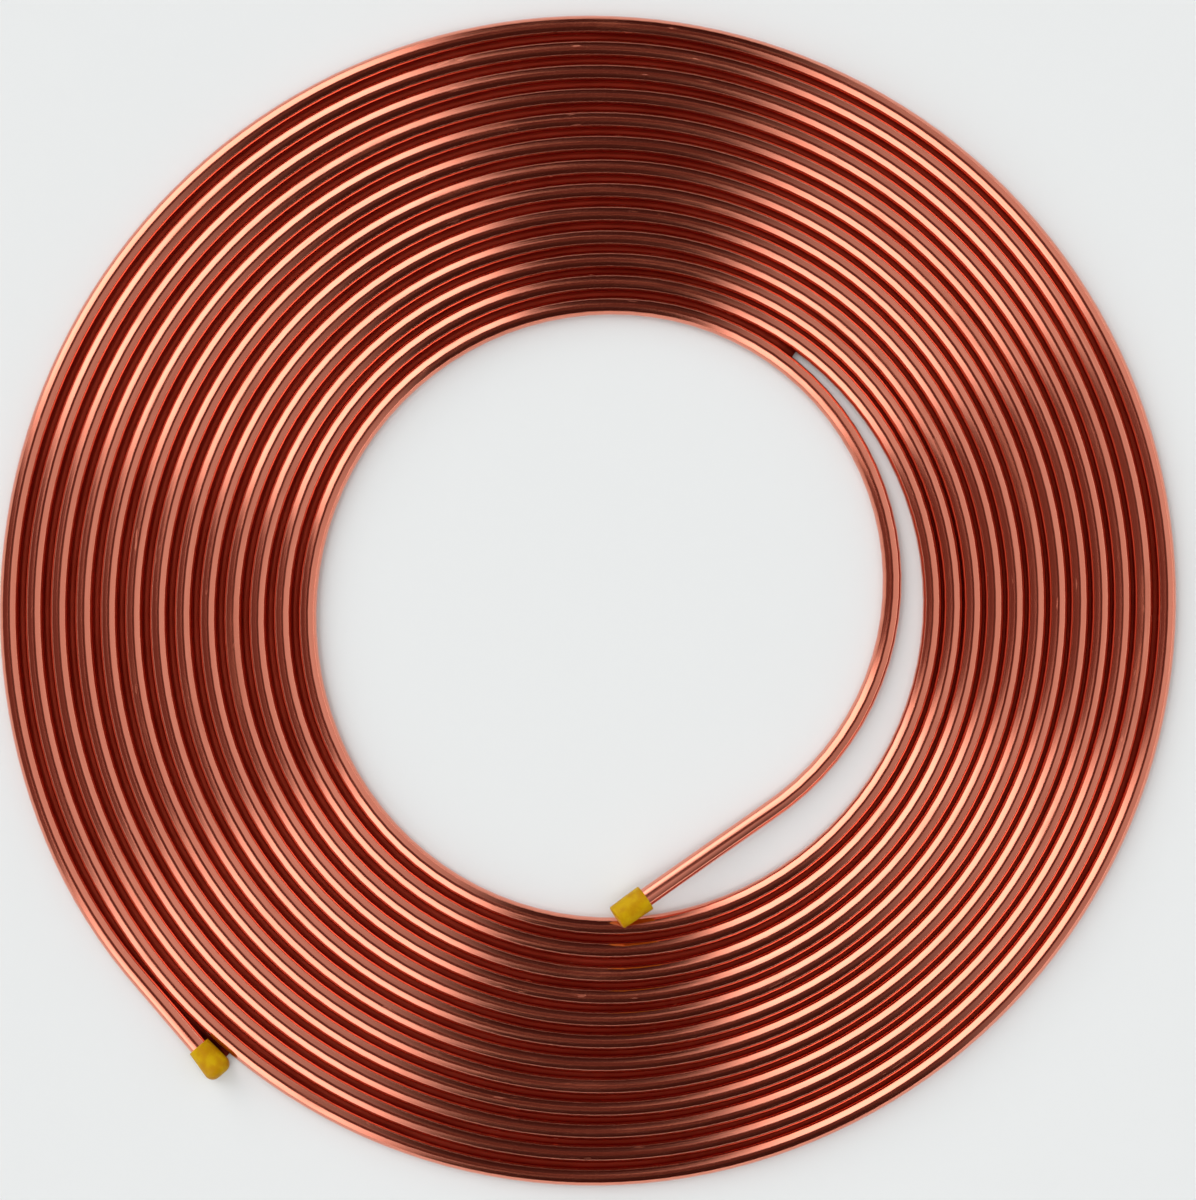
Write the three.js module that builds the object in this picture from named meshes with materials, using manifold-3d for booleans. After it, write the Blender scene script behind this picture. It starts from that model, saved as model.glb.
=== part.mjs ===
// Pancake coil of bright copper tube, 8 mm outside diameter, 15 m long, with a push-on
// plastic cap on each end.
//
// Millimetres, +Z up. The coil lies flat on the plane z = 0, with the origin in the middle
// of its outline. Seen from above, the tube starts at its outer end, winds clockwise and
// inwards, and its inner end crosses the bore to lie on top of the innermost turn.
//
// The wound part is one turned solid. Its section is a row of ridges, one for each turn,
// on a thin web, and the turned rings are drawn in by one pitch in each turn, so that they
// run on into one another as a spiral. Both free ends are swept tubes joined to it.

import * as THREE from 'three';
import { mergeVertices } from 'three/addons/utils/BufferGeometryUtils.js';
import Module from 'manifold-3d';

const wasm = await Module();
wasm.setup();

// ---- Tube -------------------------------------------------------------------------
const TUBE_OD = 8;
const TUBE_WALL = 0.8;
const OPEN_END_DEPTH = 18; // how far each open end is bored out
const SECTION_SIDES = 12; // flats of a free end's section, one of them underneath

// ---- Winding ----------------------------------------------------------------------
const COIL_RADIUS = 243.6; // middle of the tube where the outer end leaves the coil
const PITCH = 9.57; // mean distance from one turn to the next
const WOUND_TURNS = 12; // whole turns in the turned solid
const START_ANGLE = 205; // degrees, where the outer end leaves the coil
const OUTER_CENTRE = [1.7, -2.2]; // where the winding starts out centred
const CENTRE_DRIFT = [0.734, -0.14]; // how far the centre moves with each turn
const OUT_OF_ROUND = [
  { lobes: 2, height: 0.8, towards: 71 }, // a little longer along one axis, in degrees
  { lobes: 3, height: 0.32, towards: 12 },
];
const WEB = 2; // thickness of the web that joins the turns
const STEPS_PER_TURN = 44;

// ---- Free ends --------------------------------------------------------------------
// Each end leaves the coil in a bend whose radius is `tighter` millimetres less than the
// coil's there. It then points in the direction `heading`, in degrees, with `straight` more
// millimetres of tube up to its cap, and it climbs over the last `rising` millimetres.
const OUTER_END = { tighter: 32.7, heading: -49.2, straight: 37.8, rising: 70, steps: 14 };
const INNER_END = { tighter: 10.3, heading: -145.4, straight: 64.3, rising: 110, steps: 44 };
const INNER_END_LEAVES = 75; // degrees, where the inner end starts to leave the coil
const JOIN_OVERLAP = 3; // how far a free end runs into the turned solid

// ---- Caps -------------------------------------------------------------------------
const CAP_CLEARANCE = 0.3; // between the tube and the inside of a cap
const CAP_GRIP = 11; // length of tube inside a cap
const INNER_CAP = { length: 14.6, mouth: 11.3, end: 10.6, endRadius: 0.7 };
const OUTER_CAP = { length: 15.2, mouth: 9.9, end: 11.8, endRadius: 3.8 };
const CAP_SIDES = 24;
const END_ROUND_STEPS = 4;
const REST_GAP = 0.3; // between a cap and what it lies on

// ---- Worked out from the above ----------------------------------------------------
const tubeRadius = TUBE_OD / 2;
const degrees = THREE.MathUtils.degToRad;
const TURNING_AXIS = new THREE.Vector3(0, 1, 0); // of lathe and cylinder shapes
const cornerRadius = tubeRadius / Math.cos(Math.PI / SECTION_SIDES);

// The coil's direction at `turn`, counted from where the outer end leaves it.
function windingAngle(turn) {
  return degrees(START_ANGLE) - 2 * Math.PI * turn;
}

// A point in the coil in the direction `angle`, `depth` pitches in from the outermost turn
// and a further `inward` millimetres nearer the bore.
function coilPoint(angle, depth, inward = 0) {
  const cos = Math.cos(angle);
  const sin = Math.sin(angle);
  const centreX = OUTER_CENTRE[0] + CENTRE_DRIFT[0] * depth;
  const centreY = OUTER_CENTRE[1] + CENTRE_DRIFT[1] * depth;
  let radius = COIL_RADIUS - PITCH * depth - inward + centreX * cos + centreY * sin;
  for (const { lobes, height, towards } of OUT_OF_ROUND) {
    radius += height * Math.cos(lobes * (angle - degrees(towards)));
  }
  return new THREE.Vector2(radius * cos, radius * sin);
}

// The middle of the tube after `turn` turns.
function woundPoint(turn) {
  return coilPoint(windingAngle(turn), turn);
}

// A unit vector along the tube at `turn`, in the direction in which it winds inwards.
function woundDirection(turn) {
  const step = 1e-4;
  return woundPoint(turn + step).sub(woundPoint(turn - step)).normalize();
}

// Any closed geometry as a solid that can be joined and cut.
function toSolid(geometry) {
  geometry.deleteAttribute('normal');
  geometry.deleteAttribute('uv');
  const merged = mergeVertices(geometry);
  return new wasm.Manifold(new wasm.Mesh({
    numProp: 3,
    vertProperties: new Float32Array(merged.getAttribute('position').array),
    triVerts: new Uint32Array(merged.getIndex().array),
  }));
}

function toGeometry(solid) {
  const { vertProperties, triVerts } = solid.getMesh();
  const geometry = new THREE.BufferGeometry();
  geometry.setAttribute('position', new THREE.BufferAttribute(vertProperties, 3));
  geometry.setIndex(new THREE.BufferAttribute(triVerts, 1));
  geometry.computeVertexNormals();
  return geometry;
}

// ---- The wound coil -----------------------------------------------------------------

// A corner of the tube's section, `corner` degrees round from the side that faces outwards.
function sectionCorner(turn, corner) {
  const angle = degrees(corner);
  return {
    turn,
    inward: -cornerRadius * Math.cos(angle),
    z: tubeRadius + cornerRadius * Math.sin(angle),
  };
}

const OUTER_SIDE = [-15, 15];
const RIDGE_TOP = [45, 75, 105, 135];
const INNER_SIDE = [165, 195];
const RIDGE_BOTTOM = [255, 285];

function corners(turn, angles) {
  return angles.map((angle) => sectionCorner(turn, angle));
}

// The bottom of the groove between two turns: side is 1 on top and -1 underneath.
function valley(turn, side) {
  return { turn, inward: 0, z: tubeRadius + side * WEB / 2 };
}

// The section of the coil at its seam, in four stretches that follow on from one another:
// round the outermost turn, over the tops of the turns, round the innermost, and back.
function coilSection() {
  const last = WOUND_TURNS - 1;
  const outermost = [
    valley(0.5, -1),
    ...corners(0, RIDGE_BOTTOM),
    ...corners(0, OUTER_SIDE),
    ...corners(0, RIDGE_TOP),
    valley(0.5, 1),
  ];
  const innermost = [
    valley(last - 0.5, 1),
    ...corners(last, RIDGE_TOP),
    ...corners(last, INNER_SIDE),
    ...corners(last, RIDGE_BOTTOM),
    valley(last - 0.5, -1),
  ];
  const tops = [];
  const bottoms = [];
  for (let turn = 1; turn < last; turn += 1) {
    if (turn > 1) {
      tops.push(valley(turn - 0.5, 1));
      bottoms.unshift(valley(turn - 0.5, -1));
    }
    tops.push(...corners(turn, RIDGE_TOP));
    bottoms.unshift(...corners(turn, RIDGE_BOTTOM));
  }
  return { outermost, tops, innermost, bottoms };
}

function range(from, to) {
  return Array.from({ length: to - from }, (_, i) => from + i);
}

// A flat face over a closed loop of points, given in the order that faces it outwards.
function closingFace(loop, outline) {
  const faces = THREE.ShapeUtils.triangulateShape(outline, []);
  const first = faces[0].map((corner) => outline[corner]);
  const agrees = THREE.ShapeUtils.isClockWise(first) === THREE.ShapeUtils.isClockWise(outline);
  return faces.flatMap((face) => (agrees ? face : face.reverse()).map((corner) => loop[corner]));
}

function woundCoil() {
  const { outermost, tops, innermost, bottoms } = coilSection();
  const section = [...outermost, ...tops, ...innermost, ...bottoms];
  const closed = [...section, section[0]];
  const rings = closed.map(({ turn, inward, z }) => (
    new THREE.Vector2(COIL_RADIUS - PITCH * turn - inward, z)
  ));
  const geometry = new THREE.LatheGeometry(rings, STEPS_PER_TURN);

  // Each column of the turned rings is drawn in, so that the rings become one spiral.
  const position = geometry.getAttribute('position');
  for (let column = 0; column <= STEPS_PER_TURN; column += 1) {
    const wound = column / STEPS_PER_TURN;
    closed.forEach(({ turn, inward, z }, row) => {
      const point = coilPoint(windingAngle(wound), turn + wound, inward);
      position.setXYZ(column * closed.length + row, point.x, point.y, z);
    });
  }

  // After one round the section meets itself one turn further in. Left over at the seam are
  // the start of the first turn and the end of the last, and a flat face closes each.
  const first = (row) => row;
  const last = (row) => STEPS_PER_TURN * closed.length + row;
  const outerSide = 1 + RIDGE_BOTTOM.length;
  const startOfFirstTurn = [
    first(section.length - 1),
    ...range(0, outermost.length + 1).map(first),
    ...range(outerSide, outerSide + OUTER_SIDE.length).reverse().map(last),
  ];
  const innermostRow = outermost.length + tops.length;
  const innerSide = innermostRow + 1 + RIDGE_TOP.length;
  const endOfLastTurn = [
    ...range(innermostRow - 1, innermostRow + innermost.length + 1).reverse().map(last),
    ...range(innerSide, innerSide + INNER_SIDE.length).map(first),
  ];
  const across = woundPoint(0).normalize();
  const index = Array.from(geometry.getIndex().array);
  for (const loop of [startOfFirstTurn, endOfLastTurn]) {
    const outline = loop.map((i) => new THREE.Vector2(
      across.x * position.getX(i) + across.y * position.getY(i),
      position.getZ(i),
    ));
    index.push(...closingFace(loop, outline));
  }
  geometry.setIndex(index.reverse()); // a lathe wound clockwise is inside out until then
  return toSolid(geometry);
}

// ---- The free ends ------------------------------------------------------------------

// A free end follows the spiral from `enters` to `leaves`, both counted in turns, and on
// beyond the turned solid. It leaves the spiral in its bend and runs straight to its cap,
// rising until the cap clears what it lies on. `restHeight` gives the lowest height that
// the axis may have over a point, with a cap of the given radius.
class FreeEnd extends THREE.Curve {
  constructor({ tighter, heading, straight, rising, steps }, { enters, leaves, cap, restHeight }) {
    super();
    this.steps = steps;
    this.enters = enters;
    this.leaves = leaves;
    this.rising = rising;
    this.onwards = Math.sign(leaves - enters); // 1 the way the coil is wound, -1 back
    this.start = woundPoint(leaves);
    this.radius = this.start.length() - tighter;
    this.heading = woundDirection(leaves).multiplyScalar(this.onwards).angle();
    const turned = this.onwards * (this.heading - degrees(heading));
    this.bend = this.radius * THREE.MathUtils.euclideanModulo(turned, 2 * Math.PI);
    this.followed = this.start.length() * 2 * Math.PI * Math.abs(leaves - enters);
    this.mouth = this.bend + straight;
    this.tip = this.mouth + CAP_GRIP;

    this.climb = 0;
    for (let inCap = 0; inCap <= cap.length; inCap += cap.length / 20) {
      const radius = THREE.MathUtils.lerp(cap.mouth, cap.end, inCap / cap.length) / 2;
      const needed = restHeight(this.plan(this.mouth + inCap), radius + REST_GAP) - tubeRadius;
      this.climb = Math.max(this.climb, needed / this.climbed(this.mouth + inCap));
    }
  }

  // `along` is the distance from where the tube leaves the spiral.
  at(along) {
    const { x, y } = this.plan(along);
    return new THREE.Vector3(x, y, tubeRadius + this.climb * this.climbed(along));
  }

  // The share of the climb that is done: 1 at the mouth of the cap, and straight on inside.
  climbed(along) {
    const share = Math.max(0, 1 + (along - this.mouth) / this.rising);
    return share < 1 ? share * share : 2 * share - 1;
  }

  plan(along) {
    if (along < 0) {
      return woundPoint(this.leaves + (this.leaves - this.enters) * along / this.followed);
    }
    const side = (heading) => (
      new THREE.Vector2(-Math.sin(heading), Math.cos(heading))
        .multiplyScalar(this.onwards * this.radius)
    );
    const heading = this.heading - this.onwards * Math.min(along, this.bend) / this.radius;
    const beyond = Math.max(0, along - this.bend);
    return this.start.clone()
      .sub(side(this.heading))
      .add(side(heading))
      .addScaledVector(new THREE.Vector2(Math.cos(heading), Math.sin(heading)), beyond);
  }

  getPoint(t) {
    return this.at(THREE.MathUtils.lerp(-this.followed, this.tip, t));
  }
}

// How far a point is, seen from above, from the middle of the innermost turn.
function distanceToInnermostTurn(point) {
  const from = new THREE.Vector3(point.x, point.y, 0);
  const columns = range(0, STEPS_PER_TURN + 1).map((column) => {
    const { x, y } = woundPoint(WOUND_TURNS - column / STEPS_PER_TURN);
    return new THREE.Vector3(x, y, 0);
  });
  const distances = range(0, STEPS_PER_TURN).map((i) => {
    const nearest = new THREE.Vector3();
    new THREE.Line3(columns[i], columns[i + 1]).closestPointToPoint(from, true, nearest);
    return nearest.distanceTo(from);
  });
  return Math.min(...distances);
}

function freeEnds() {
  const overlap = (turn) => JOIN_OVERLAP / (2 * Math.PI * woundPoint(turn).length());
  const outerEnd = new FreeEnd(OUTER_END, {
    enters: overlap(0),
    leaves: 0,
    cap: OUTER_CAP,
    restHeight: (point, radius) => radius, // on the floor
  });
  const innerEnd = new FreeEnd(INNER_END, {
    enters: WOUND_TURNS - overlap(WOUND_TURNS),
    leaves: WOUND_TURNS + (START_ANGLE - INNER_END_LEAVES) / 360,
    cap: INNER_CAP,
    restHeight: (point, radius) => { // across the innermost turn
      const reach = cornerRadius + radius;
      const apart = Math.min(reach, distanceToInnermostTurn(point));
      return tubeRadius + Math.sqrt(reach * reach - apart * apart);
    },
  });
  return { outerEnd, innerEnd };
}

function sweptTube(end) {
  const section = new THREE.Shape(range(0, SECTION_SIDES).map((side) => {
    const angle = 2 * Math.PI * (side + 0.5) / SECTION_SIDES;
    return new THREE.Vector2(Math.cos(angle), Math.sin(angle)).multiplyScalar(cornerRadius);
  }));
  return toSolid(new THREE.ExtrudeGeometry(section, { extrudePath: end, steps: end.steps }));
}

// Where a cap's mouth is on a free end, and the direction in which its tube points.
function capSeat(end) {
  const tip = end.at(end.tip);
  const direction = tip.clone().sub(end.at(end.mouth)).normalize();
  return { at: tip.addScaledVector(direction, -CAP_GRIP), direction };
}

function boredEnd(end) {
  const tip = end.at(end.tip);
  const direction = tip.clone().sub(end.at(end.tip - OPEN_END_DEPTH)).normalize();
  const past = 1;
  const bore = new THREE.CylinderGeometry(
    tubeRadius - TUBE_WALL,
    tubeRadius - TUBE_WALL,
    OPEN_END_DEPTH + past,
    SECTION_SIDES,
  );
  bore.applyQuaternion(new THREE.Quaternion().setFromUnitVectors(TURNING_AXIS, direction));
  const middle = tip.addScaledVector(direction, (past - OPEN_END_DEPTH) / 2);
  bore.translate(middle.x, middle.y, middle.z);
  return toSolid(bore);
}

function copperTube({ outerEnd, innerEnd }) {
  const solid = woundCoil()
    .add(sweptTube(outerEnd))
    .add(sweptTube(innerEnd))
    .subtract(boredEnd(outerEnd))
    .subtract(boredEnd(innerEnd));
  const material = new THREE.MeshStandardMaterial({
    color: 0xb5623c,
    roughness: 0.18,
    metalness: 1,
  });
  const mesh = new THREE.Mesh(toGeometry(solid), material);
  mesh.name = 'copper_tube';
  return mesh;
}

// ---- The caps -----------------------------------------------------------------------

// A cup that narrows or swells from its mouth to its closed end, which is rounded off.
function pushOnCap(name, size, seat) {
  const bore = (cornerRadius + CAP_CLEARANCE) / Math.cos(Math.PI / CAP_SIDES);
  const mouth = size.mouth / 2;
  const end = size.end / 2;
  const profile = new THREE.Path();
  profile.moveTo(0, CAP_GRIP + CAP_CLEARANCE);
  profile.lineTo(bore, CAP_GRIP + CAP_CLEARANCE);
  profile.lineTo(bore, 0);
  profile.lineTo(mouth, 0);
  profile.lineTo(end, size.length - size.endRadius);
  profile.absarc(end - size.endRadius, size.length - size.endRadius, size.endRadius, 0, Math.PI / 2);
  profile.lineTo(0, size.length);
  const cap = new THREE.LatheGeometry(profile.getPoints(END_ROUND_STEPS), CAP_SIDES);
  const material = new THREE.MeshStandardMaterial({
    color: 0xd2a112,
    roughness: 0.55,
    metalness: 0,
  });
  const mesh = new THREE.Mesh(toGeometry(toSolid(cap)), material);
  mesh.name = name;
  mesh.position.copy(seat.at);
  mesh.quaternion.setFromUnitVectors(TURNING_AXIS, seat.direction);
  return mesh;
}

const ends = freeEnds();

const coil = new THREE.Group();
coil.add(
  copperTube(ends),
  pushOnCap('outer_cap', OUTER_CAP, capSeat(ends.outerEnd)),
  pushOnCap('inner_cap', INNER_CAP, capSeat(ends.innerEnd)),
);

export default coil;
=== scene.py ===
"""A flat coil of bright copper tube, with a push-on cap on each of its two ends."""

import math

import bmesh
import bpy
from mathutils import Matrix, Vector


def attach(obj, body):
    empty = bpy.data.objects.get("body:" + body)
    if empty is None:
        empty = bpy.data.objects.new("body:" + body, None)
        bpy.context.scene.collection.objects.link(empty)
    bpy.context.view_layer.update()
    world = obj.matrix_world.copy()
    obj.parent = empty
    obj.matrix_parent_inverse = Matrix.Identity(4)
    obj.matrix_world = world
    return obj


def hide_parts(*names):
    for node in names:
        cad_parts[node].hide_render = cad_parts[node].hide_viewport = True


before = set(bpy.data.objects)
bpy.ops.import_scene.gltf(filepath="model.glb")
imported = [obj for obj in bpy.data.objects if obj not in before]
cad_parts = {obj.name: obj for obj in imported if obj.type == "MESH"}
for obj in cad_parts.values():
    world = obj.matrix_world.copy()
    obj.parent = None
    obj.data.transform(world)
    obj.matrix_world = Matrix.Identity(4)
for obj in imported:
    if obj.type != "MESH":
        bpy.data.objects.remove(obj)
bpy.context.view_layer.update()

MM = 0.001

# ---- Tube ---------------------------------------------------------------------------
TUBE_RADIUS = 4 * MM
TUBE_WALL = 0.8 * MM
OPEN_END_DEPTH = 18 * MM
TUBE_SIDES = 36
# How far the drawn surfaces lie inside those of the solid model, so that none is outside.
SKIN = 0.015 * MM
# Points closer than this are one point.
WELD = 0.001 * MM
STATION_SPACING = 9 * MM
# The tube is drawn in short lengths of so many stations, which is quick.
LENGTH_STATIONS = 40
# How many points each part of the line is worked out at, before its stations are spaced.
FINE = dict(outer_end=300, wound=9000, inner_end=900, beside_outer_end=200,
            beside_inner_end=100)

# ---- Coil: it starts at its outer end and is wound clockwise towards its middle -----
# Directions are counted anticlockwise from +X, and places along the coil in turns from its
# outer end. The wound part starts in one direction and is left in the other, in degrees.
COIL_RADIUS = 243.6 * MM
PITCH = 9.57 * MM
WOUND_TURNS = 12
STARTS_AT, LEFT_AT = 205, 75
START_ANGLE = math.radians(STARTS_AT)
OUTER_CENTRE = Vector((1.7, -2.2)) * MM
CENTRE_DRIFT = Vector((0.734, -0.14)) * MM
OUT_OF_ROUND = ((2, 0.8 * MM, math.radians(71)), (3, 0.32 * MM, math.radians(12)))
# How much further in the middle turns lie than evenly spaced ones would, as lobes round the
# coil, and one lobe more that grows towards the inner turns. The first turn and the last
# lie as in an even spiral, and the change is eased in and out beside them.
SETTLED = ((0, 0.19 * MM, 0), (1, 0.50 * MM, math.radians(71)), (2, 0.20 * MM, 0),
           (3, 0.24 * MM, math.radians(7)))
SETTLED_INNER = dict(height=0.60 * MM, towards=math.radians(93), none_at=5.5, full_after=5)
EASED_IN = dict(after=1, over=0.7)
EASED_OUT = dict(before=11.36, over=1.9)

# ---- Free ends, as in the solid model -----------------------------------------------
OUTER_END = dict(leaves=0, onwards=-1, tighter=32.7 * MM, heading=math.radians(-49.2),
                 straight=37.8 * MM, rising=70 * MM, climb=1.534 * MM)
INNER_END = dict(leaves=WOUND_TURNS + (STARTS_AT - LEFT_AT) / 360, onwards=1,
                 tighter=10.3 * MM, heading=math.radians(-145.4), straight=64.3 * MM,
                 rising=110 * MM, climb=6.936 * MM)

# ---- Painted shade: a dark strip in the groove between the turns --------------------
# It runs on past where the inner end leaves the coil.
# The strip stands in for the shade down in the gaps, where the real turns lie apart and
# there is only shade.
GAP_SHADE_STRIP = dict(middle=2.7 * MM, thickness=0.6 * MM, width=5.6 * MM, beyond=55 * MM)
# Beside the cap on the outer end it runs lower, and closer to the second turn, so that the
# slit there shows painted shade.
GAP_SHADE_BY_CAP = dict(middle=0.75 * MM, towards_turn=0.12, reach=12 * MM, falling=10 * MM)

# ---- Caps ---------------------------------------------------------------------------
CAP_GRIP = 11 * MM
CAP_CLEARANCE = 0.3 * MM
INNER_CAP = dict(length=14.6 * MM, mouth=11.3 * MM, end=10.6 * MM, end_radius=0.7 * MM)
OUTER_CAP = dict(length=15.2 * MM, mouth=9.9 * MM, end=11.8 * MM, end_radius=3.8 * MM)
CAP_LIP = 0.25 * MM
CAP_SIDES = 64
WALL_STEPS, CORNER_STEPS = 6, 10

# ---- Studio, in metres, watts and degrees -------------------------------------------
PALE_SHADES = ((0.800, 0.816, 0.818, 1), (0.812, 0.826, 0.826, 1))
STUDIO_FLOOR = dict(reach=12.0, cove=1.5, wall=2.45, flat_rings=(0, 0.3, 0.6, 1.5, 4),
                    cove_steps=12, sides=96)
# From one distance to the other, the floor takes on a faint glow of its own.
FAR_GLOW = dict(nearest=4.0, farthest=12.0, strength=0.3)
OVERHEAD_LAMP = dict(size=6, height=7, energy=164, colour=(0.84, 0.99, 1.0))
CAMERA = dict(over=(0.00394, 0.0002), distance=1.6, view_height=0.498, sensor=36)

# The soft lights of the room, each a wedge of the sky between two compass directions, from
# some way down from straight up as far as the floor.
WHITE, WARM = (1, 1, 1, 1), (1, 0.42, 0.35, 1)
LIGHTS = (
    dict(middle=134.5, half_width=26, soft_side=7, top=15, soft_top=4, level=2.5,
         colour=WHITE),
    dict(middle=229, half_width=18, soft_side=8, top=17, soft_top=5, level=2.2,
         colour=WHITE),
    dict(middle=9, half_width=56, soft_side=8, top=14, soft_top=5, level=0.43,
         colour=WHITE),
    dict(middle=14, half_width=36, soft_side=18, top=14, soft_top=5, level=0.26,
         colour=WHITE),
    dict(middle=184, half_width=22, soft_side=6, top=12, soft_top=10, level=0.125,
         colour=WARM),
)
# The room is dim, and a little less so straight above. Heights are sines.
ROOM = dict(around=0.050, above=0.11, from_height=0.85, to_height=0.98)


# ---- The line that the tube follows -------------------------------------------------
def eased(share):
    """Goes smoothly from 0 to 1 as the share does."""
    share = min(1, max(0, share))
    return share * share * (3 - 2 * share)


def lobed(angle, lobes):
    """The height of some lobes round the coil in one direction. Each is given as how many
    there are, how high they are, and the direction of one of them."""
    return sum(height * math.cos(count * (angle - towards))
               for count, height, towards in lobes)


def settled(turn, angle):
    """How much further in a turn lies than in an even spiral."""
    inner = SETTLED_INNER
    grown = inner["height"] * (turn - inner["none_at"]) / inner["full_after"]
    inwards = grown * math.cos(angle - inner["towards"]) + lobed(angle, SETTLED)
    return (inwards * eased((turn - EASED_IN["after"]) / EASED_IN["over"])
            * eased((EASED_OUT["before"] - turn) / EASED_OUT["over"]))


def wound_point(turn):
    """The middle of the tube, seen from above, after so many turns from the outer end."""
    angle = START_ANGLE - 2 * math.pi * turn
    across = Vector((math.cos(angle), math.sin(angle)))
    radius = COIL_RADIUS - PITCH * turn + (OUTER_CENTRE + CENTRE_DRIFT * turn).dot(across)
    radius += lobed(angle, OUT_OF_ROUND)
    return (radius - settled(turn, angle)) * across


class FreeEnd:
    """An end of the tube: a bend away from the coil, and a straight rising to its cap."""

    def __init__(self, leaves, onwards, tighter, heading, straight, rising, climb):
        self.onwards, self.rising, self.climb = onwards, rising, climb
        self.start = wound_point(leaves)
        self.radius = self.start.length - tighter
        small = 1e-5  # of a turn
        ahead = (wound_point(leaves + small) - wound_point(leaves - small)) * onwards
        self.heading = math.atan2(ahead.y, ahead.x)
        self.bend = self.radius * ((onwards * (self.heading - heading)) % (2 * math.pi))
        self.mouth = self.bend + straight
        self.tip = self.mouth + CAP_GRIP

    def climbed(self, along):
        """The share of the climb at a distance along the end. It is 1 at the mouth of the
        cap, from where the tube runs straight on."""
        share = max(0, 1 + (along - self.mouth) / self.rising)
        return share * share if share < 1 else 2 * share - 1

    def at(self, along):
        """The middle of the tube, so far along from where it leaves the coil."""
        def side(heading):
            reach = self.onwards * self.radius
            return Vector((-math.sin(heading), math.cos(heading))) * reach

        heading = self.heading - self.onwards * min(along, self.bend) / self.radius
        beyond = max(0, along - self.bend)
        plan = self.start - side(self.heading) + side(heading)
        plan += Vector((math.cos(heading), math.sin(heading))) * beyond
        return Vector((plan.x, plan.y, TUBE_RADIUS + self.climb * self.climbed(along)))

    def seat(self):
        """Where the cap's mouth is, turned so that its +Z runs on along the tube."""
        tip = self.at(self.tip)
        direction = (tip - self.at(self.mouth)).normalized()
        turn = Vector((0, 0, 1)).rotation_difference(direction).to_matrix().to_4x4()
        return Matrix.Translation(tip - direction * CAP_GRIP) @ turn


outer_end = FreeEnd(**OUTER_END)
inner_end = FreeEnd(**INNER_END)


def evenly_spaced(fine, spacing):
    """Points along a finely divided line, with how far along it each of them is."""
    travelled = [0.0]
    for a, b in zip(fine, fine[1:]):
        travelled.append(travelled[-1] + (b - a).length)
    stations = round(travelled[-1] / spacing)
    line, j = [], 0
    for i in range(stations + 1):
        wanted = travelled[-1] * i / stations
        while j < len(fine) - 2 and travelled[j + 1] < wanted:
            j += 1
        share = (wanted - travelled[j]) / (travelled[j + 1] - travelled[j])
        line.append((fine[j].lerp(fine[j + 1], share), wanted))
    return line


def tube_line():
    """The middle of the whole tube, from the tip of its outer end to its inner one's."""
    outer, wound, inner = FINE["outer_end"], FINE["wound"], FINE["inner_end"]
    last = INNER_END["leaves"]
    fine = [outer_end.at(outer_end.tip * (1 - i / outer)) for i in range(outer)]
    fine += [wound_point(last * i / wound).to_3d() + Vector((0, 0, TUBE_RADIUS))
             for i in range(wound + 1)]
    fine += [inner_end.at(inner_end.tip * i / inner) for i in range(1, inner + 1)]
    return evenly_spaced(fine, STATION_SPACING)


def groove_line():
    """The middle of the groove between each turn and the next, along which the dark strip
    of painted shade runs, from beside the cap on the outer end to where the inner end has
    left its neighbour."""
    def beside(point, turn):
        """The point of the given turn that lies across from a point."""
        past = (START_ANGLE - math.atan2(point.y, point.x)) / (2 * math.pi) - turn
        return wound_point(turn + past - round(past))

    def between(a, b, lowered=0.0):
        """The point half way between two turns, or as far towards the low place beside the
        cap as the share says."""
        middle, low = GAP_SHADE_STRIP["middle"], GAP_SHADE_BY_CAP["middle"]
        plan = a.lerp(b, 0.5 + GAP_SHADE_BY_CAP["towards_turn"] * lowered)
        return Vector((plan.x, plan.y, middle + (low - middle) * lowered))

    outer, wound, inner = FINE["beside_outer_end"], FINE["wound"], FINE["beside_inner_end"]
    fine = []
    for i in range(outer):
        along = (outer_end.mouth + GAP_SHADE_BY_CAP["reach"]) * (1 - i / outer)
        point = outer_end.at(along).to_2d()
        share = eased(1 + (along - outer_end.mouth) / GAP_SHADE_BY_CAP["falling"])
        fine.append(between(point, beside(point, 1), share))
    last = INNER_END["leaves"] - 1
    fine += [between(wound_point(last * i / wound), wound_point(last * i / wound + 1))
             for i in range(wound + 1)]
    for i in range(1, inner + 1):
        point = inner_end.at(GAP_SHADE_STRIP["beyond"] * i / inner).to_2d()
        fine.append(between(point, beside(point, last)))
    return evenly_spaced(fine, STATION_SPACING)


# ---- Meshes -------------------------------------------------------------------------
def to_piece(bm, name, replaced, finishes):
    """Makes a finished piece from a bmesh, in the place of its node in the solid model."""
    mesh = bpy.data.meshes.new(name)
    bm.to_mesh(mesh)
    bm.free()
    mesh.shade_smooth()
    for finish in finishes:
        mesh.materials.append(finish)
    piece = bpy.data.objects.new(name, mesh)
    bpy.context.scene.collection.objects.link(piece)
    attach(piece, "root")
    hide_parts(replaced)
    return piece


def sections(line):
    """A frame at each station: X out sideways, Y upwards, Z along the tube."""
    frames = []
    for i, (point, _) in enumerate(line):
        before = line[max(0, i - 1)][0]
        after = line[min(len(line) - 1, i + 1)][0]
        along = (after - before).normalized()
        sideways = along.cross(Vector((0, 0, 1))).normalized()
        upwards = sideways.cross(along)
        turn = Matrix((sideways, upwards, along)).transposed().to_4x4()
        frames.append(Matrix.Translation(point) @ turn)
    return frames


def round_section(bm):
    """The outside of the tube."""
    made = bmesh.ops.create_circle(bm, segments=TUBE_SIDES, radius=TUBE_RADIUS - SKIN)
    return made["verts"]


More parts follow.
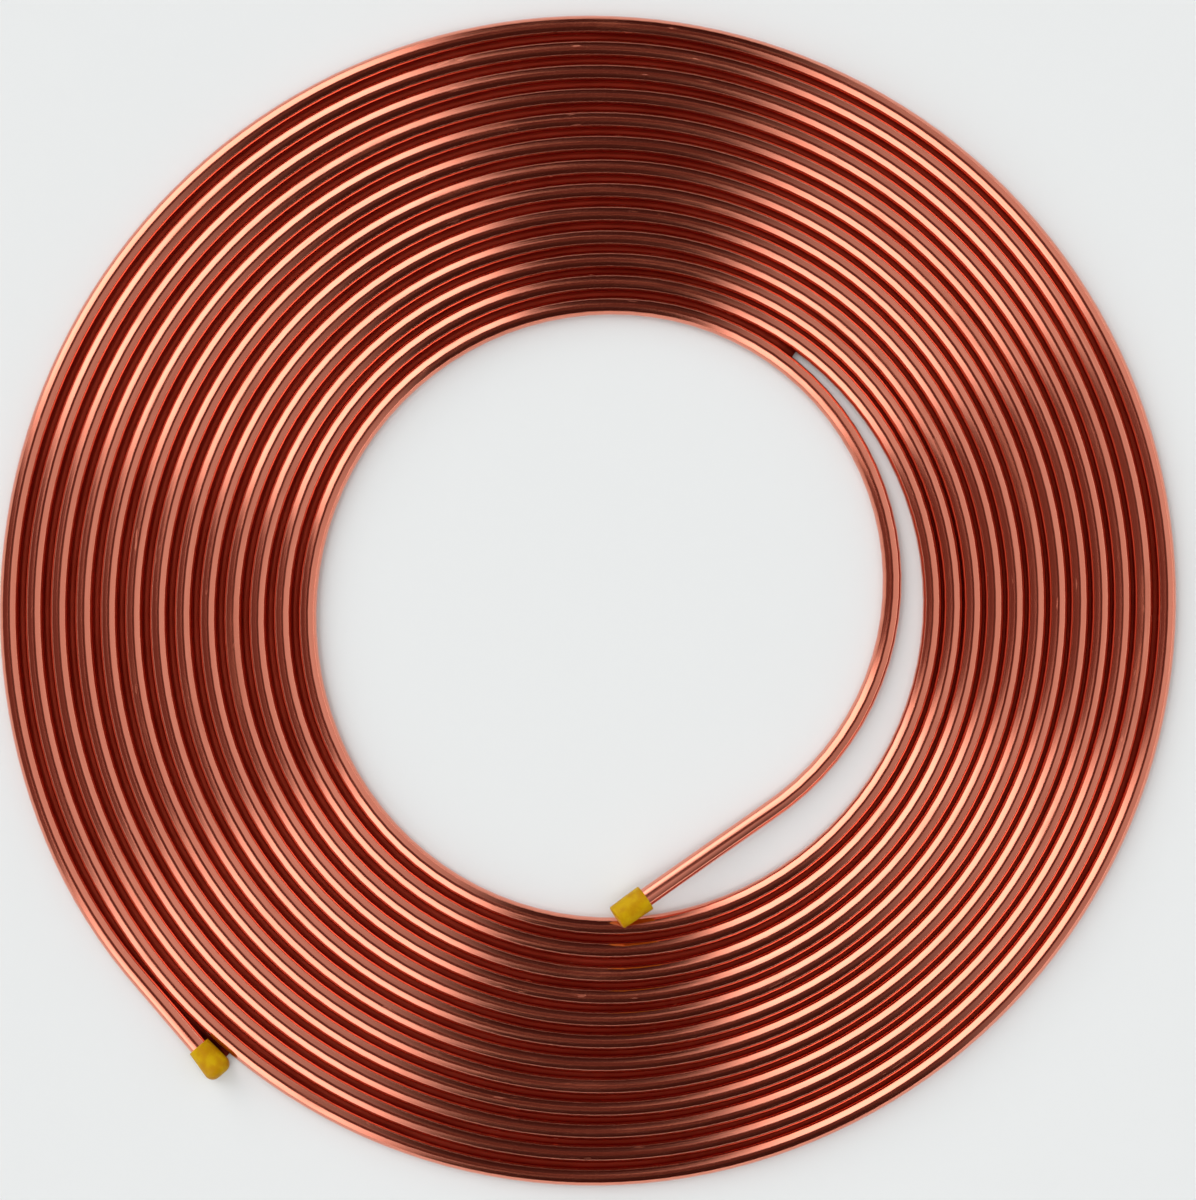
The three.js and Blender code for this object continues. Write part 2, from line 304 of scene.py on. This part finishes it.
def flat_section(bm):
    """A square with sides of 1, drawn out to the width and thickness of the strip."""
    ring = bmesh.ops.create_circle(bm, segments=4, radius=math.sqrt(0.5))["verts"]
    bmesh.ops.rotate(bm, verts=ring, matrix=Matrix.Rotation(math.pi / 4, 3, "Z"))
    size = (GAP_SHADE_STRIP["width"], GAP_SHADE_STRIP["thickness"], 1)
    bmesh.ops.scale(bm, verts=ring, vec=size)
    return ring


def drawn_length(section, line, frames, first, last, closing):
    """Draws a section out along the line from one station to another. Where the stretch
    reaches an end of the line, that end is closed. Each point remembers where it would lie
    on a straight tube: across it in X and Y, and along it in Z."""
    bm = bmesh.new()
    straightened = bm.verts.layers.float_vector.new("straightened")
    ring = section(bm)
    for v in ring:
        v[straightened] = (v.co.x, v.co.y, line[first][1])
    bmesh.ops.transform(bm, matrix=frames[first], verts=ring)
    start = edges = list(bm.edges)

    def drawn_on(edges, matrix, travelled):
        made = bmesh.ops.extrude_edge_only(bm, edges=edges)["geom"]
        verts = [e for e in made if isinstance(e, bmesh.types.BMVert)]
        bmesh.ops.transform(bm, matrix=matrix, verts=verts)
        for v in verts:
            v[straightened].z = travelled
        return [e for e in made if isinstance(e, bmesh.types.BMEdge)]

    def closed(edges, end, travelled, inwards):
        for change in closing(inwards):
            edges = drawn_on(edges, end @ change @ end.inverted(), travelled)
        bmesh.ops.edgeloop_fill(bm, edges=edges)

    for i in range(first + 1, last + 1):
        edges = drawn_on(edges, frames[i] @ frames[i - 1].inverted(), line[i][1])
    if first == 0:
        closed(start, frames[first], line[first][1], 1)
    if last == len(line) - 1:
        closed(edges, frames[last], line[last][1], -1)
    mesh = bpy.data.meshes.new("length")
    bm.to_mesh(mesh)
    bm.free()
    return mesh


def open_bore(inwards):
    """Turns an end of the tube in to its bore."""
    narrow = (TUBE_RADIUS - TUBE_WALL) / TUBE_RADIUS
    return (Matrix.Diagonal((narrow, narrow, 1, 1)),
            Matrix.Translation((0, 0, inwards * OPEN_END_DEPTH)))


def add_drawn(bm, section, line, closing, material):
    """Adds a section drawn out along a whole line."""
    before = set(bm.faces)
    frames = sections(line)
    for first in range(0, len(line) - 1, LENGTH_STATIONS):
        last = min(first + LENGTH_STATIONS, len(line) - 1)
        length = drawn_length(section, line, frames, first, last, closing)
        bm.from_mesh(length)
        bpy.data.meshes.remove(length)
    for face in bm.faces:
        if face not in before:
            face.material_index = material


def copper_coil(bright, dull):
    """The whole tube, and a dark strip of painted shade in the groove between its turns."""
    bm = bmesh.new()
    add_drawn(bm, round_section, tube_line(), open_bore, 0)
    # The flat strip with the second finish is painted shade, a dark sheet that stands in
    # for the shade in the gaps.
    add_drawn(bm, flat_section, groove_line(), lambda inwards: (), 1)
    bmesh.ops.remove_doubles(bm, verts=bm.verts, dist=WELD)
    bmesh.ops.recalc_face_normals(bm, faces=bm.faces)
    return to_piece(bm, "drawn_tube", "copper_tube", (bright, dull))


def turned(profile, sides):
    """A surface turned round +Z, from pairs of a radius and a height."""
    bm = bmesh.new()
    chain = [bm.verts.new((radius, 0, height)) for radius, height in profile]
    edges = [bm.edges.new(pair) for pair in zip(chain, chain[1:])]
    bmesh.ops.spin(bm, geom=chain + edges, cent=(0, 0, 0), axis=(0, 0, 1),
                   angle=2 * math.pi, steps=sides, use_merge=True)
    bmesh.ops.remove_doubles(bm, verts=bm.verts, dist=WELD)
    bmesh.ops.recalc_face_normals(bm, faces=bm.faces)
    return bm


def push_on_cap(name, replaced, size, seat, finish):
    """Turns a cup with a rounded mouth and a rounded closed end."""
    bore = TUBE_RADIUS + CAP_CLEARANCE
    mouth, end = size["mouth"] / 2 - SKIN, size["end"] / 2 - SKIN
    length, end_radius, lip = size["length"], size["end_radius"], CAP_LIP
    profile = [(0, CAP_GRIP + CAP_CLEARANCE), (bore, CAP_GRIP + CAP_CLEARANCE), (bore, lip)]
    profile += [(bore + lip * (1 - math.cos(a)), lip * (1 - math.sin(a)))
                for a in (math.pi / 4, math.pi / 2)]
    profile += [(mouth - lip * (1 - math.sin(a)), lip * (1 - math.cos(a)))
                for a in (0, math.pi / 4, math.pi / 2)]
    shoulder = length - end_radius
    profile += [(mouth + (end - mouth) * i / WALL_STEPS,
                 lip + (shoulder - lip) * i / WALL_STEPS)
                for i in range(1, WALL_STEPS + 1)]
    profile += [(end - end_radius * (1 - math.cos(math.pi / 2 * i / CORNER_STEPS)),
                 shoulder + end_radius * math.sin(math.pi / 2 * i / CORNER_STEPS))
                for i in range(1, CORNER_STEPS + 1)]
    profile.append((0, length))
    bm = turned(profile, CAP_SIDES)
    bmesh.ops.transform(bm, matrix=seat, verts=bm.verts)
    return to_piece(bm, name, replaced, (finish,))


# ---- Materials ----------------------------------------------------------------------
class Nodes:
    """Places and links nodes in one tree."""

    def __init__(self, tree):
        self.tree = tree
        tree.nodes.clear()

    def add(self, kind, *, links=None, values=None, **settings):
        """A node with some of its sockets linked and others set."""
        node = self.tree.nodes.new(kind)
        for key, value in settings.items():
            setattr(node, key, value)
        for key, value in (values or {}).items():
            node.inputs[key].default_value = value
        for key, source in (links or {}).items():
            self.tree.links.new(source, node.inputs[key])
        return node

    def maths(self, operation, *terms, clamp=False):
        """A sum or a function of numbers and outputs."""
        node = self.add("ShaderNodeMath", operation=operation, use_clamp=clamp)
        for socket, term in zip(node.inputs, terms):
            if isinstance(term, (int, float)):
                socket.default_value = term
            else:
                self.tree.links.new(term, socket)
        return node.outputs[0]

    def smooth(self, value, low, high, bottom=0.0, top=1.0):
        """Goes smoothly from bottom to top as the value goes from low to high."""
        node = self.add("ShaderNodeMapRange", interpolation_type="SMOOTHSTEP",
                        links={"Value": value},
                        values={"From Min": low, "From Max": high,
                                "To Min": bottom, "To Max": top})
        return node.outputs["Result"]

    def noise(self, vector, scale, detail, roughness=0.55):
        """A cloudy pattern, mostly near a half."""
        node = self.add("ShaderNodeTexNoise", noise_dimensions="3D",
                        links={"Vector": vector},
                        values={"Scale": scale, "Detail": detail, "Roughness": roughness})
        return node.outputs["Fac"]

    def grouped(self, group, values, links=None):
        """What a node group with one output puts out."""
        node = self.add("ShaderNodeGroup", node_tree=group, values=values, links=links)
        return node.outputs[0]

    def mixed(self, share, a, b):
        """One colour turning into another as the share goes from 0 to 1."""
        node = self.add("ShaderNodeMix", data_type="RGBA", clamp_factor=True)
        factor, first, second, result = 0, 6, 7, 2
        for index, value in ((factor, share), (first, a), (second, b)):
            if isinstance(value, tuple):
                node.inputs[index].default_value = value
            else:
                self.tree.links.new(value, node.inputs[index])
        return node.outputs[result]

    def bumped(self, height):
        """The normal of a surface that has a height, in metres."""
        node = self.add("ShaderNodeBump", links={"Height": height},
                        values={"Strength": 1.0, "Distance": 1.0})
        return node.outputs["Normal"]

    def shown(self, shader):
        """Puts a shader on the surface."""
        self.add("ShaderNodeOutputMaterial", links={"Surface": shader.outputs["BSDF"]})


def new_material(name):
    """A material, and its nodes to be filled in."""
    material = bpy.data.materials.new(name)
    material.use_nodes = True
    return material, Nodes(material.node_tree)


def drawn_grain_group():
    """A cloudy pattern that is drawn out along the tube and follows it round the coil."""
    tree = bpy.data.node_groups.new("drawn_grain", "ShaderNodeTree")
    for name in ("Lengthwise", "Scale", "Detail", "Roughness"):
        tree.interface.new_socket(name, in_out="INPUT", socket_type="NodeSocketFloat")
    tree.interface.new_socket("Grain", in_out="OUTPUT", socket_type="NodeSocketFloat")
    n = Nodes(tree)
    given = n.add("NodeGroupInput").outputs
    straightened = n.add("ShaderNodeAttribute", attribute_type="GEOMETRY",
                         attribute_name="straightened").outputs["Vector"]
    stretch = n.add("ShaderNodeCombineXYZ", values={"X": 1, "Y": 1},
                    links={"Z": given["Lengthwise"]}).outputs["Vector"]
    laid = n.add("ShaderNodeMapping", vector_type="POINT",
                 links={"Vector": straightened, "Scale": stretch}).outputs["Vector"]
    grain = n.add("ShaderNodeTexNoise", noise_dimensions="3D",
                  links={"Vector": laid, "Scale": given["Scale"],
                         "Detail": given["Detail"], "Roughness": given["Roughness"]})
    n.add("NodeGroupOutput", links={"Grain": grain.outputs["Fac"]})
    return tree


def bright_copper(drawn_grain):
    """Bright drawn copper under a thin clear film, with fine lines along it, slight waves,
    a few scuffs, and patches where it has begun to dull."""
    material, n = new_material("bright_drawn_copper")

    def grain(lengthwise, scale, detail, roughness=0.55):
        return n.grouped(drawn_grain, {"Lengthwise": lengthwise, "Scale": scale,
                                       "Detail": detail, "Roughness": roughness})

    lines = grain(0.006, 2200, 0.0)
    wide_lines = grain(0.012, 600, 1.0)
    tarnish = grain(0.25, 90, 3.0, roughness=0.6)
    patches = grain(0.4, 14, 1.0)
    scuffs = grain(0.15, 420, 2.0, roughness=0.7)
    waves = grain(0.35, 45, 0.0)

    dull = n.maths("MULTIPLY", n.smooth(tarnish, 0.5, 0.72), n.smooth(patches, 0.42, 0.6))
    scuffed = n.smooth(scuffs, 0.66, 0.74)
    streak = n.smooth(wide_lines, 0.35, 0.65)

    fresh = n.mixed(streak, (0.80, 0.245, 0.150, 1), (0.84, 0.270, 0.170, 1))
    colour = n.mixed(n.maths("MULTIPLY", dull, 0.6), fresh, (0.62, 0.165, 0.090, 1))
    roughness = n.maths("ADD", n.smooth(lines, 0.3, 0.7, 0.12, 0.17),
                        n.maths("MULTIPLY", dull, 0.10))
    roughness = n.maths("ADD", roughness, n.maths("MULTIPLY", scuffed, 0.12))
    height = n.maths("ADD", n.maths("MULTIPLY", lines, 0.0002 * MM),
                     n.maths("MULTIPLY", wide_lines, 0.0010 * MM))
    height = n.maths("ADD", height, n.maths("MULTIPLY", waves, 0.06 * MM))
    n.shown(n.add("ShaderNodeBsdfPrincipled",
                  links={"Base Color": colour, "Roughness": roughness,
                         "Normal": n.bumped(height)},
                  values={"Metallic": 1.0, "Coat Weight": 0.7, "Coat Roughness": 0.12,
                          "Coat IOR": 1.5}))
    return material


def gap_shade_copper(drawn_grain):
    """Painted shade: the dark, dull copper of the strip in the groove between the turns,
    standing in for the shade down in the gaps.
    """
    material, n = new_material("painted_gap_shade")
    stain = n.grouped(drawn_grain, {"Lengthwise": 0.2, "Scale": 120, "Detail": 2.0,
                                    "Roughness": 0.6})
    grit = n.grouped(drawn_grain, {"Lengthwise": 0.3, "Scale": 1500, "Detail": 0.0,
                                   "Roughness": 0.55})
    colour = n.mixed(n.smooth(stain, 0.35, 0.65), (0.28, 0.030, 0.014, 1),
                     (0.40, 0.052, 0.026, 1))
    roughness = n.smooth(stain, 0.3, 0.7, 0.5, 0.65)
    n.shown(n.add("ShaderNodeBsdfPrincipled",
                  links={"Base Color": colour, "Roughness": roughness,
                         "Normal": n.bumped(n.maths("MULTIPLY", grit, 0.04 * MM))},
                  values={"Metallic": 1.0}))
    return material


def moulded_plastic():
    """Yellow plastic with a finely pebbled skin, clouded, and rubbed in places."""
    material, n = new_material("yellow_moulded_plastic")
    place = n.add("ShaderNodeTexCoord").outputs["Object"]
    cloud = n.noise(place, 160, detail=3.0)
    pebble = n.noise(place, 2600, detail=2.0)
    rubbed = n.smooth(n.noise(place, 420, detail=4.0, roughness=0.65), 0.6, 0.72)
    colour = n.mixed(n.smooth(cloud, 0.35, 0.65), (0.48, 0.225, 0.0, 1),
                     (0.57, 0.340, 0.0, 1))
    colour = n.mixed(n.maths("MULTIPLY", rubbed, 0.35), colour, (0.65, 0.42, 0.0, 1))
    roughness = n.maths("ADD", n.smooth(cloud, 0.3, 0.7, 0.40, 0.50),
                        n.maths("MULTIPLY", rubbed, 0.12))
    n.shown(n.add("ShaderNodeBsdfPrincipled",
                  links={"Base Color": colour, "Roughness": roughness,
                         "Normal": n.bumped(n.maths("MULTIPLY", pebble, 0.03 * MM))},
                  values={"Metallic": 0.0, "Specular IOR Level": 0.12}))
    return material


def pale_floor():
    """A plain pale sheet. Far out, where the lamp hardly reaches, it still shows as pale,
    to the eye and in what the copper mirrors, and gives the object no light."""
    material, n = new_material("pale_floor")
    place = n.add("ShaderNodeTexCoord").outputs["Object"]
    colour = n.mixed(n.noise(place, 3, detail=2.0), *PALE_SHADES)
    outwards = n.add("ShaderNodeVectorMath", operation="LENGTH",
                     links={"Vector": place}).outputs["Value"]
    glow = n.smooth(outwards, FAR_GLOW["nearest"], FAR_GLOW["farthest"],
                    top=FAR_GLOW["strength"])
    ray = n.add("ShaderNodeLightPath").outputs
    mirrored = n.maths("ADD", ray["Is Glossy Ray"], ray["Is Transmission Ray"])
    seen = n.maths("ADD", ray["Is Camera Ray"], mirrored, clamp=True)
    n.shown(n.add("ShaderNodeBsdfPrincipled",
                  links={"Base Color": colour, "Emission Color": colour,
                         "Emission Strength": n.maths("MULTIPLY", glow, seen)},
                  values={"Roughness": 0.9, "Specular IOR Level": 0.2}))
    material.cycles.emission_sampling = "NONE"
    return material


# ---- Studio -------------------------------------------------------------------------
def studio_floor():
    """A round floor that curves up into a low wall, all one pale sheet."""
    reach, cove, steps = (STUDIO_FLOOR[key] for key in ("reach", "cove", "cove_steps"))
    flat = reach - cove
    profile = [(radius, 0) for radius in (*STUDIO_FLOOR["flat_rings"], flat)]
    profile += [(flat + cove * math.sin(math.pi / 2 * i / steps),
                 cove - cove * math.cos(math.pi / 2 * i / steps))
                for i in range(1, steps + 1)]
    profile.append((reach, STUDIO_FLOOR["wall"]))
    bm = turned(profile, STUDIO_FLOOR["sides"])
    mesh = bpy.data.meshes.new("studio_floor")
    bm.to_mesh(mesh)
    bm.free()
    mesh.shade_smooth()
    mesh.materials.append(pale_floor())
    floor = bpy.data.objects.new("studio_floor", mesh)
    bpy.context.scene.collection.objects.link(floor)


def wedge_group():
    """How much of a wedge of the sky is seen in a direction. The wedge lies between two
    compass directions, and goes down to the floor from the top given, which is the sine of
    its height."""
    tree = bpy.data.node_groups.new("wedge_of_sky", "ShaderNodeTree")
    tree.interface.new_socket("Direction", in_out="INPUT", socket_type="NodeSocketVector")
    for name in ("Compass", "Half Width", "Soft Side", "Top", "Soft Top"):
        tree.interface.new_socket(name, in_out="INPUT", socket_type="NodeSocketFloat")
    tree.interface.new_socket("Seen", in_out="OUTPUT", socket_type="NodeSocketFloat")
    n = Nodes(tree)
    given = n.add("NodeGroupInput").outputs
    parts = n.add("ShaderNodeSeparateXYZ", links={"Vector": given["Direction"]}).outputs
    compass = n.maths("ARCTAN2", parts["Y"], parts["X"])
    turned = n.maths("SUBTRACT", compass, given["Compass"])
    off = n.maths("ABSOLUTE", n.maths("WRAP", turned, math.pi, -math.pi))

    def fading(value, edge, soft):
        node = n.add("ShaderNodeMapRange", interpolation_type="SMOOTHSTEP",
                     links={"Value": value, "From Min": n.maths("ADD", edge, soft),
                            "From Max": n.maths("SUBTRACT", edge, soft)})
        return node.outputs["Result"]

    sides = fading(off, given["Half Width"], given["Soft Side"])
    top = fading(parts["Z"], given["Top"], given["Soft Top"])
    n.add("NodeGroupOutput", links={"Seen": n.maths("MULTIPLY", sides, top)})
    return tree


def overhead_lamp():
    """Lights the floor and the caps evenly, and is kept out of what the copper mirrors."""
    data = bpy.data.lights.new("overhead", "AREA")
    data.shape = "DISK"
    data.size = OVERHEAD_LAMP["size"]
    data.energy = OVERHEAD_LAMP["energy"]
    data.color = OVERHEAD_LAMP["colour"]
    lamp = bpy.data.objects.new("overhead", data)
    lamp.location = (0, 0, OVERHEAD_LAMP["height"])
    lamp.visible_camera = False
    lamp.visible_glossy = False
    bpy.context.scene.collection.objects.link(lamp)


def room_lights():
    """Two bright soft lights, a broad dull one and a faint warm one, in a dim room."""
    wedge = wedge_group()
    world = bpy.data.worlds.new("studio")
    world.use_nodes = True
    bpy.context.scene.world = world
    n = Nodes(world.node_tree)
    direction = n.add("ShaderNodeTexCoord").outputs["Generated"]
    height = n.add("ShaderNodeSeparateXYZ", links={"Vector": direction}).outputs["Z"]
    dim = n.smooth(height, ROOM["from_height"], ROOM["to_height"], ROOM["around"],
                   ROOM["above"])
    room = n.add("ShaderNodeBackground", values={"Color": WARM}, links={"Strength": dim})
    for light in LIGHTS:
        top, soft = math.radians(light["top"]), math.radians(light["soft_top"])
        seen = n.grouped(wedge, {"Compass": math.radians(light["middle"]),
                                 "Half Width": math.radians(light["half_width"]),
                                 "Soft Side": math.radians(light["soft_side"]),
                                 "Top": math.cos(top), "Soft Top": soft * math.sin(top)},
                         links={"Direction": direction})
        lit = n.add("ShaderNodeBackground", values={"Color": light["colour"]},
                    links={"Strength": n.maths("MULTIPLY", seen, light["level"])})
        room = n.add("ShaderNodeAddShader", links={0: room.outputs[0], 1: lit.outputs[0]})
    n.add("ShaderNodeOutputWorld", links={"Surface": room.outputs[0]})


def camera_above():
    """Looks straight down from far away, with the top of the picture towards +Y."""
    data = bpy.data.cameras.new("camera")
    data.sensor_width = CAMERA["sensor"]
    data.lens = CAMERA["sensor"] * CAMERA["distance"] / CAMERA["view_height"]
    camera = bpy.data.objects.new("camera", data)
    camera.location = (*CAMERA["over"], CAMERA["distance"] + TUBE_RADIUS)
    bpy.context.scene.collection.objects.link(camera)
    bpy.context.scene.camera = camera


drawn_grain = drawn_grain_group()
copper_coil(bright_copper(drawn_grain), gap_shade_copper(drawn_grain))
plastic = moulded_plastic()
push_on_cap("cap_on_outer_end", "outer_cap", OUTER_CAP, outer_end.seat(), plastic)
push_on_cap("cap_on_inner_end", "inner_cap", INNER_CAP, inner_end.seat(), plastic)
studio_floor()
overhead_lamp()
room_lights()
camera_above()
bpy.context.scene.view_settings.view_transform = "Standard"
